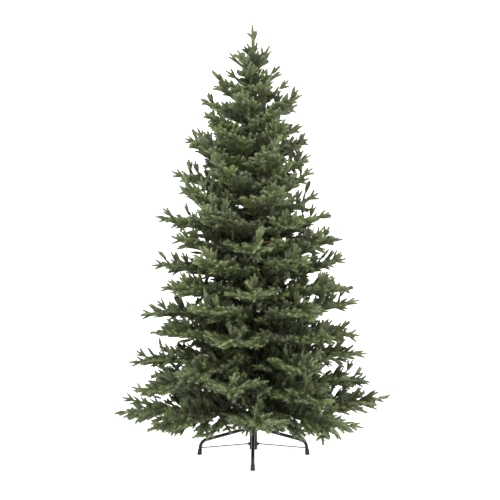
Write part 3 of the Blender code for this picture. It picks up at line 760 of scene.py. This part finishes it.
def add_tip(bough, zone, chance):
    """The three fingers that a bough ends in."""
    elbow = bough.point(bough.reach - FINGER_LENGTH)
    along, _, up = square_axes(bough.point(bough.reach) - elbow, UPWARD)
    roll = chance.choice((-1, 1)) * chance.uniform(math.radians(10), math.radians(60))
    face = Matrix.Rotation(roll, 3, along) @ up
    tint = pick_tint(chance, True)
    across = along.cross(face)
    add_finger(zone, tint, elbow, along, face, FINGER_LENGTH, chance)
    for side in (-1, 1):
        turn = FINGER_TURN + chance.uniform(-0.05, 0.20)
        way = along * math.cos(turn) + across * side * math.sin(turn)
        add_finger(zone, tint, elbow, way, face, FINGER_LENGTH * 0.9, chance)


for bough in boughs:
    chance = random.Random(5000 + 100 * bough.tier + round(math.degrees(bough.azimuth)))
    zone = zone_of(bough.tier)
    crowding = CROWDING if bough.tier >= CROWDED_TIER else 1.0
    bare = bough.tier == 0 and math.sin(bough.azimuth) > -0.4
    start = LOWEST_FAN_START if bare else FAN_START + 0.06 * bough.reach
    add_fan(bough, zone, chance, start, crowding)
    for brush in (STANDING, HANGING):
        add_brush(bough, zone, chance, brush, crowding)
    if bough.tier < TOP_TIER:
        add_riders(bough, zone, chance, start)
    add_tip(bough, zone, chance)


# Loose sprigs. Sprays that fill the fans' gaps: under the lowest tier, at the ends of the bare wires, close
# round the pole in every tier, and as a skirt where the pole comes out of the foliage.

SPRIGS = (
    ((-0.005, -0.16, 0.232), (-0.035, -0.20, 0.132), "bluish"),
    ((0.10, -0.10, 0.232), (0.235, -0.31, 0.155), "mid"),
    ((0.30, -0.30, 0.228), (0.30, -0.43, 0.160), "mid"),
    ((-0.22, -0.24, 0.230), (-0.20, -0.44, 0.178), "bluish"),
    ((-0.16, -0.17, 0.230), (-0.10, -0.36, 0.190), "mid"),
    ((-0.20, -0.22, 0.230), (-0.26, -0.32, 0.165), "mid"),
    ((-0.27, -0.28, 0.228), (-0.35, -0.36, 0.180), "bluish"),
    ((-0.13, -0.16, 0.228), (-0.19, -0.26, 0.160), "yellowish"),
    ((0.36, -0.31, 0.226), (0.487, -0.35, 0.212), "mid"),
    ((-0.46, 0.05, 0.265), (-0.612, 0.08, 0.318), "mid"),
    ((-0.52, 0.03, 0.240), (-0.655, 0.05, 0.272), "mid"),
)
SPRIG_FACE = Vector((0, -0.6, 1))
BARE_END_LENGTH = 0.085
INNER_COUNT, SLENDER_COUNT, INNER_LENGTHS = 9, 13, (0.11, 0.16)
SKIRT_COUNT, SKIRT_REACHES, SKIRT_HEIGHTS, SKIRT_LENGTHS = 12, (0.13, 0.05), (0.235, 0.275), (0.12, 0.16)

for root, tip, tint in SPRIGS:
    sprig = Vector(tip) - Vector(root)
    add_twig("low", tint, Vector(root), sprig, SPRIG_FACE, sprig.length, 0.2, random.Random(3))
for _, bend, tip in BARE_WIRES:
    add_twig("middle", "mid", tip, tip - bend, UPWARD, BARE_END_LENGTH, 0.3, random.Random(4))
for tier in range(len(BOUGHS)):
    chance = random.Random(8000 + tier)
    slender = tier >= SLENDER_TIER
    count = SLENDER_COUNT if slender else INNER_COUNT
    shortening = 1.0 if tier < NARROW_TIER else 0.82 if tier <= LEADER_TIER else 0.6
    for k in range(count):
        azimuth = (k + chance.uniform(0.1, 0.9)) * math.tau / count
        height = tier_root(tier) + TIER_PITCH * chance.uniform(0.2, 0.8)
        root = on_circle(pole_radius(height), azimuth, height)
        way = on_circle(1.0, azimuth, chance.uniform(0.5, 1.4) if slender else chance.uniform(-0.3, 0.7))
        length = chance.uniform(*INNER_LENGTHS) * shortening
        # Round the pole, below the slender tiers, the sprigs are the darkest green, partly as painted shade.
        tint = pick_tint(chance, False) if slender else "deep"
        add_twig(zone_of(tier), tint, root, way, UPWARD, length, 0.5, chance, BRUSH_TURN)
chance = random.Random(77)
for k in range(SKIRT_COUNT):
    azimuth = (k + chance.uniform(0.1, 0.9)) * math.tau / SKIRT_COUNT
    root = on_circle(SKIRT_REACHES[k % 2], azimuth, chance.uniform(*SKIRT_HEIGHTS))
    way = on_circle(1.0, azimuth, chance.uniform(-0.40, -0.12))
    # The skirt is the darkest green too, partly as painted shade.
    add_twig("low", "deep", root, way, UPWARD, chance.uniform(*SKIRT_LENGTHS), 0.4, chance, BRUSH_TURN)


# Leader. The pole ends in a thin stem, sleeved in needles, with two whorls of three fingers and one finger
# that points up. Two small forked shoots stand out below the whorls.

STEM_HEIGHTS = (POLE_SECTIONS[-1][1] - 0.01, 1.80, 1.945, 2.05)
STEM_RADII = (0.0060, 0.0048, 0.0036, 0.0020)
SLEEVE_START, SLEEVE_PITCH, SLEEVE_COUNT, STEM_SLEEVE, STEM_PLUMP = 1.80, 0.027, 9, 0.054, 1.45
LEADER_WHORLS = ((1.962, 0.060, 41, 185), (2.033, 0.046, 33, 172))
TOP_HEIGHT, TOP_WAY, TOP_LENGTH, TOP_PLUMP = 2.037, Vector((-0.07, 0, 1)), 0.072, 1.20
SHOOTS = (
    (
        Vector((0.002, -0.012, 1.880)), Vector((0.046, -0.022, 1.938)),
        (Vector((0.079, -0.024, 1.998)), Vector((0.094, -0.034, 1.962)), Vector((0.036, -0.036, 1.986))),
    ),
    (
        Vector((-0.006, -0.012, 1.850)), Vector((-0.074, -0.022, 1.910)),
        (Vector((-0.122, -0.026, 1.957)), Vector((-0.126, -0.05, 1.930))),
    ),
)
SHOOT_RADII, SHOOT_OVERLAP, SHOOT_PLUMP = (0.0018, 0.0015, 0.0012), 1.15, 0.95
BACKWARD = Vector((0, 1, 0))

chance = random.Random(9)
twigs["high"].add([(0, 0, height) for height in STEM_HEIGHTS], STEM_RADII)
for k in range(SLEEVE_COUNT):
    root = Vector((0, 0, SLEEVE_START + SLEEVE_PITCH * k))
    add_finger("high", "mid", root, UPWARD, BACKWARD, STEM_SLEEVE, chance, STEM_PLUMP)
for height, length, spread, turn in LEADER_WHORLS:
    for k in range(3):
        azimuth = math.radians(turn + 120 * k)
        way = on_circle(math.sin(math.radians(spread)), azimuth, math.cos(math.radians(spread)))
        add_finger("high", "mid", Vector((0, 0, height)), way, UPWARD, length, chance, TOP_PLUMP)
add_finger("high", "bluish", Vector((0, 0, TOP_HEIGHT)), TOP_WAY, BACKWARD, TOP_LENGTH, chance, TOP_PLUMP)
for root, fork, tips in SHOOTS:
    middle = (root + fork) / 2
    twigs["high"].add([root, middle, fork], SHOOT_RADII)
    for start, end in ((root, middle), (middle, fork)):
        length = (end - start).length * SHOOT_OVERLAP
        add_finger("high", "mid", start, end - start, UPWARD, length, chance, SHOOT_PLUMP)
    for tip in tips:
        add_finger("high", "mid", fork, tip - fork, UPWARD, (tip - fork).length, chance)


# Twig cores. Thin wires in brown moulded plastic, which carry the fingers and are bound to the bough's wire.
# The needles hide all but a little of them, so that three sides are enough.

twig_brown = finish(
    "moulded_twig", (0.045, 0.034, 0.018), (0.085, 0.058, 0.030),
    (0.50, 0.70), (70.0, 900.0, 0.5), (0.3, 0.0003),
)


def twig_tree():
    """Rounds chains of points into thin closed twigs."""
    tree, taken = node_tree("thin_twigs", (("Sides", "Int", 3),))
    add, _, read, _, _ = shorthands(tree)
    chain = add("GeometryNodeMeshToCurve", {"Mesh": taken["Geometry"]})
    ring = add("GeometryNodeCurvePrimitiveCircle", {"Resolution": taken["Sides"], "Radius": 1.0})
    feeds = {"Curve": chain, "Profile Curve": ring, "Scale": read("thick"), "Fill Caps": True}
    skin = add("GeometryNodeCurveToMesh", feeds)
    coat(add, skin, taken["Material"])
    return tree


thin_twigs = twig_tree()
zone_nodes = {}
for zone, tiers in ZONE_TIERS.items():
    zone_nodes[zone] = [node for tier in tiers for node in foliage_nodes.get(tier, [])]
    mesh = grown(twigs[zone].mesh(), thin_twigs, {"Material": twig_brown})
    add_piece(f"twigs_{zone}", mesh, twig_brown, zone_nodes[zone])


# Needles. Soft moulded plastic, a few centimetres of shoot set all round with flat needles that lean forward
# and close up at the tip. Sprays come in five greens, mixed at the works. The darkest green is set mostly
# inside the crown and round the pole, partly as painted shade.

NEEDLE_COLOURS = {
    "bluish": ((0.090, 0.123, 0.058), (0.143, 0.182, 0.085)),
    "mid": ((0.095, 0.126, 0.046), (0.154, 0.193, 0.071)),
    "yellowish": ((0.108, 0.138, 0.046), (0.172, 0.204, 0.070)),
    "deep": ((0.066, 0.080, 0.038), (0.102, 0.118, 0.054)),
    "pale": ((0.150, 0.184, 0.082), (0.228, 0.262, 0.120)),
}
# Painted light: painted shade darkens the needles' roots and the stem inside each finger, and a painted
# highlight pales each finger towards its tip.
ROOT_PAINTED_SHADE, TIP_PAINTED_HIGHLIGHT = 0.55, 1.25
DEEP_NEEDLES, DEEP_NEEDLE_WIDTH = 30, 0.0064
GOLDEN_TURN, WOBBLE, WOBBLE_TURN, WOBBLE_AT_TIP = 2.39996, 0.15, 3.0, 2.0
PACKING_POWER, CLOSING_POWER, NEEDLE_SHARE = 0.90, 5.0, 0.86
TRIANGLE_HALF_WIDTH = 0.577
BELLY_TURN, BELLY_START, BELLY_POWER, STEM_BEYOND = 1.90, 0.90, 0.7, 0.004
STEM_PAINTED_SHADE, NEEDLE_PAINTED_LIGHT_SHARE, TIPWARD_PAINTED_HIGHLIGHT = 0.25, 0.5, 9.0
VARIANT_BENDS = (-1.6, 0.8, 2.4)


def finger_tree():
    """Sets needles round a core line, makes three fingers of them and puts one on every point."""
    tree, taken = node_tree("needle_fingers", (
        ("Needles", "Int", 46), ("Core Length", "Float", 0.050), ("Needle Length", "Float", 0.0145),
        ("Needle Width", "Float", 0.0050), ("Needle Start", "Float", 0.0030), ("Root Lean", "Float", 0.60),
        ("Tip Lean", "Float", 0.50), ("Root Overlap", "Float", 0.010), ("Tip Shortening", "Float", 0.26),
        ("Stem Radius", "Float", 0.0066), ("Seed", "Int", 7),
    ))
    add, sums, read, store, join = shorthands(tree)
    place = add("GeometryNodeInputPosition")
    x, y, z = add("ShaderNodeSeparateXYZ", {"Vector": place}).outputs

    # One needle: a long triangle drawn out along Z, from its broad root to its point
    triangle = add("GeometryNodeMeshCircle", {"Vertices": 3, "Radius": 1.0}, fill_type="NGON")
    run = sums("DIVIDE", sums("ADD", x, 0.5), 1.5)
    shape = add("ShaderNodeCombineXYZ", {
        "X": sums("MULTIPLY", sums("MULTIPLY", y, TRIANGLE_HALF_WIDTH), taken["Needle Width"]),
        "Z": sums("ADD", sums("MULTIPLY", run, taken["Needle Length"]), taken["Needle Start"]),
    })
    blade = add("GeometryNodeSetPosition", {"Geometry": triangle, "Position": shape})
    # Each needle carries a value for painted light, low at its root for painted shade and high at its point.
    needle = store(blade, "outward", sums("ADD", run, 0.1))

    # The stem inside: a closed tube of two lengths that narrows towards both ends
    tube = add("GeometryNodeMeshCone", {
        "Vertices": 3, "Side Segments": 2, "Radius Top": 1.0, "Radius Bottom": 1.0, "Depth": 1.0,
    }, fill_type="NGON")
    belly = sums("SINE", sums("ADD", sums("MULTIPLY", z, BELLY_TURN), BELLY_START))
    radius = sums("MULTIPLY", sums("POWER", belly, BELLY_POWER), taken["Stem Radius"])
    body = add("ShaderNodeCombineXYZ", {
        "X": sums("MULTIPLY", x, radius), "Y": sums("MULTIPLY", y, radius),
        "Z": sums("MULTIPLY", z, sums("ADD", taken["Core Length"], STEM_BEYOND)),
    })
    # The stem carries a low value, for painted shade inside the finger.
    stem = store(add("GeometryNodeSetPosition", {"Geometry": tube, "Position": body}), "outward", STEM_PAINTED_SHADE)

    # The needles' seats: all along the core and a little back from its root
    index = add("GeometryNodeInputIndex")
    share = sums("DIVIDE", index, taken["Needles"])
    span = sums("ADD", taken["Core Length"], taken["Root Overlap"])
    packed = sums("MULTIPLY", sums("POWER", share, PACKING_POWER), span)
    seat = add("ShaderNodeCombineXYZ", {"Z": sums("SUBTRACT", packed, taken["Root Overlap"])})
    row = add("GeometryNodeMeshLine", {"Count": taken["Needles"]}, mode="OFFSET")
    line = add("GeometryNodeSetPosition", {"Geometry": row, "Position": seat})
    closing = sums("POWER", share, CLOSING_POWER)
    leaning = sums("MULTIPLY", closing, sums("SUBTRACT", taken["Tip Lean"], taken["Root Lean"]))
    lean = sums("ADD", taken["Root Lean"], leaning)
    shorter = sums("SUBTRACT", 1.0, sums("MULTIPLY", closing, taken["Tip Shortening"]))

    # Three fingers, each with its own loose needles and its own bend
    variants = []
    for number, bend in enumerate(VARIANT_BENDS):
        limits = {"Min": -WOBBLE, "Max": WOBBLE, "Seed": sums("ADD", taken["Seed"], float(number))}
        wobble = add("FunctionNodeRandomValue", limits, data_type="FLOAT")
        turn = sums("ADD", sums("MULTIPLY", index, GOLDEN_TURN), sums("MULTIPLY", wobble, WOBBLE_TURN))
        loosened = sums("MULTIPLY", wobble, sums("ADD", 1.0, sums("MULTIPLY", closing, WOBBLE_AT_TIP)))
        rotation = add("ShaderNodeCombineXYZ", {"X": sums("ADD", lean, loosened), "Z": turn})
        euler = add("FunctionNodeEulerToRotation", {"Euler": rotation})
        bristles = add("GeometryNodeInstanceOnPoints", {
            "Points": line, "Instance": needle, "Rotation": euler,
            "Scale": sums("MULTIPLY", sums("ADD", NEEDLE_SHARE, wobble), shorter),
        })
        loose = add("GeometryNodeRealizeInstances", {"Geometry": join(bristles, stem)})
        # Painted light: shade towards the needles' roots and the stem, and a highlight towards the finger's
        # tip.
        painted_light = sums("ADD", sums("MULTIPLY", read("outward"), NEEDLE_PAINTED_LIGHT_SHARE), sums("MULTIPLY", z, TIPWARD_PAINTED_HIGHLIGHT))
        sway = add("ShaderNodeCombineXYZ", {"Y": sums("MULTIPLY", sums("POWER", z, 2.0), bend)})
        bent = add("GeometryNodeSetPosition", {"Geometry": store(loose, "outward", painted_light), "Offset": sway})
        variants.append(add("GeometryNodeGeometryToInstance", {"Geometry": bent}))
    field = add("GeometryNodeInstanceOnPoints", {
        "Points": taken["Geometry"], "Instance": join(*reversed(variants)), "Pick Instance": True,
        "Instance Index": read("kind", "INT"), "Rotation": read("aim", "QUATERNION"),
        "Scale": read("size", "FLOAT_VECTOR"),
    })
    coat(add, field, taken["Material"])
    return tree


def finger_points(places):
    """The points that fingers stand on, with each one's direction, size and kind."""
    mesh = bpy.data.meshes.new("finger_points")
    mesh.from_pydata([tuple(root) for root, _, _, _ in places], [], [])
    aim = mesh.attributes.new("aim", "QUATERNION", "POINT")
    aim.data.foreach_set("value", [part for _, turn, _, _ in places for part in turn])
    size = mesh.attributes.new("size", "FLOAT_VECTOR", "POINT")
    size.data.foreach_set("vector", [part for _, _, scale, _ in places for part in scale])
    kind = mesh.attributes.new("kind", "INT", "POINT")
    kind.data.foreach_set("value", [number for _, _, _, number in places])
    return mesh


def needle_finish(tint, dark, light):
    """One green of needle, with painted shade at the needles' roots and a painted highlight towards a
    finger's tip.
    """
    material = finish(
        f"needles_{tint}", dark, light, (0.42, 0.62), (28.0, 260.0, 0.55), (0.35, 0.0006), specular=0.55
    )
    add = partial(add_node, material.node_tree)
    shader = material.node_tree.nodes["Principled BSDF"]
    colour = shader.inputs["Base Color"].links[0].from_socket
    # The painted shade and highlight scale the colour, by the value that the fingers carry.
    outward = add("ShaderNodeAttribute", attribute_name="outward").outputs["Fac"]
    shade = add("ShaderNodeMapRange", {"To Min": ROOT_PAINTED_SHADE, "To Max": TIP_PAINTED_HIGHLIGHT, "Value": outward})
    colour_with_painted_light = add("ShaderNodeVectorMath", {"Vector": colour, "Scale": shade}, operation="SCALE")
    feed(shader, {"Base Color": colour_with_painted_light})
    return material


needle_fingers = finger_tree()
needle_finishes = {tint: needle_finish(tint, dark, light) for tint, (dark, light) in NEEDLE_COLOURS.items()}
for (zone, tint), places in fingers.items():
    values = {"Material": needle_finishes[tint]}
    if tint == "deep":
        values |= {"Needles": DEEP_NEEDLES, "Needle Width": DEEP_NEEDLE_WIDTH}
    mesh = grown(finger_points(places), needle_fingers, values)
    add_piece(f"needles_{tint}_{zone}", mesh, needle_finishes[tint], zone_nodes[zone])


# Floor and backdrop. One sheet of white paper that runs along the floor and curves up behind. It glows a
# little, so that it stays white round the tree.

SWEEP_HALF_WIDTH, SWEEP_FRONT, SWEEP_FLAT, SWEEP_RADIUS, SWEEP_TOP, SWEEP_STEPS = 9.0, -6.0, 3.0, 2.5, 8.0, 12

paper = bpy.data.meshes.new("paper_sweep")
sweep = [(SWEEP_FRONT, 0.0), (SWEEP_FLAT, 0.0)]
for k in range(1, SWEEP_STEPS + 1):
    turn = math.pi / 2 * k / SWEEP_STEPS
    sweep.append((SWEEP_FLAT + SWEEP_RADIUS * math.sin(turn), SWEEP_RADIUS - SWEEP_RADIUS * math.cos(turn)))
sweep.append((SWEEP_FLAT + SWEEP_RADIUS, SWEEP_TOP))
paper.from_pydata([(x, y, z) for y, z in sweep for x in (-SWEEP_HALF_WIDTH, SWEEP_HALF_WIDTH)], [], [
    (2 * k, 2 * k + 1, 2 * k + 3, 2 * k + 2) for k in range(len(sweep) - 1)
])
lit_paper = finish(
    "lit_paper", (0.86, 0.86, 0.86), (0.90, 0.90, 0.90), (0.85, 0.95), (1.0, 60.0, 0.2), (0.05, 0.0005),
    specular=0.1,
)
feed(lit_paper.node_tree.nodes["Principled BSDF"], {
    "Emission Color": (1.0, 1.0, 1.0, 1.0), "Emission Strength": 0.76,
})
paper.materials.append(lit_paper)
for polygon in paper.polygons:
    polygon.use_smooth = True
backdrop = bpy.data.objects.new("paper_sweep", paper)
bpy.context.scene.collection.objects.link(backdrop)


# Light. A pale room that lights the tree from all sides, and three round soft lamps: the strongest close
# above it, one at the front left and a weak one at the front right.

TREE_MIDDLE = (0, 0, 1.0)

world = bpy.data.worlds.new("studio")
bpy.context.scene.world = world
world.use_nodes = True
feed(world.node_tree.nodes["Background"], {"Color": (1.0, 1.0, 1.0, 1.0), "Strength": 1.27})
bpy.context.scene.view_settings.view_transform = "Standard"


def soft_light(name, place, size, power):
    """A round lamp of this diameter and power that faces the tree's middle."""
    data = bpy.data.lights.new(name, "AREA")
    data.shape = "DISK"
    data.size = size
    data.energy = power
    lamp = bpy.data.objects.new(name, data)
    lamp.location = place
    lamp.rotation_euler = (Vector(TREE_MIDDLE) - Vector(place)).to_track_quat("-Z", "Y").to_euler()
    bpy.context.scene.collection.objects.link(lamp)


soft_light("key_light", (-1.8, -3.6, 3.6), 2.0, 76)
soft_light("top_light", (-0.3, -1.0, 4.2), 2.4, 115)
soft_light("fill_light", (2.6, -3.0, 2.4), 2.0, 37)


# Camera. Level and one metre up, some steps in front of the tree, with a lens that takes in all of it, from
# the feet to the tip.

camera_data = bpy.data.cameras.new("camera")
camera_data.sensor_width = 36.0
camera_data.lens = 53.7
camera = bpy.data.objects.new("camera", camera_data)
camera.location = (-0.017, -3.65, 1.0)
camera.rotation_euler = (math.pi / 2, 0, 0)
bpy.context.scene.collection.objects.link(camera)
bpy.context.scene.camera = camera

bpy.context.view_layer.update()
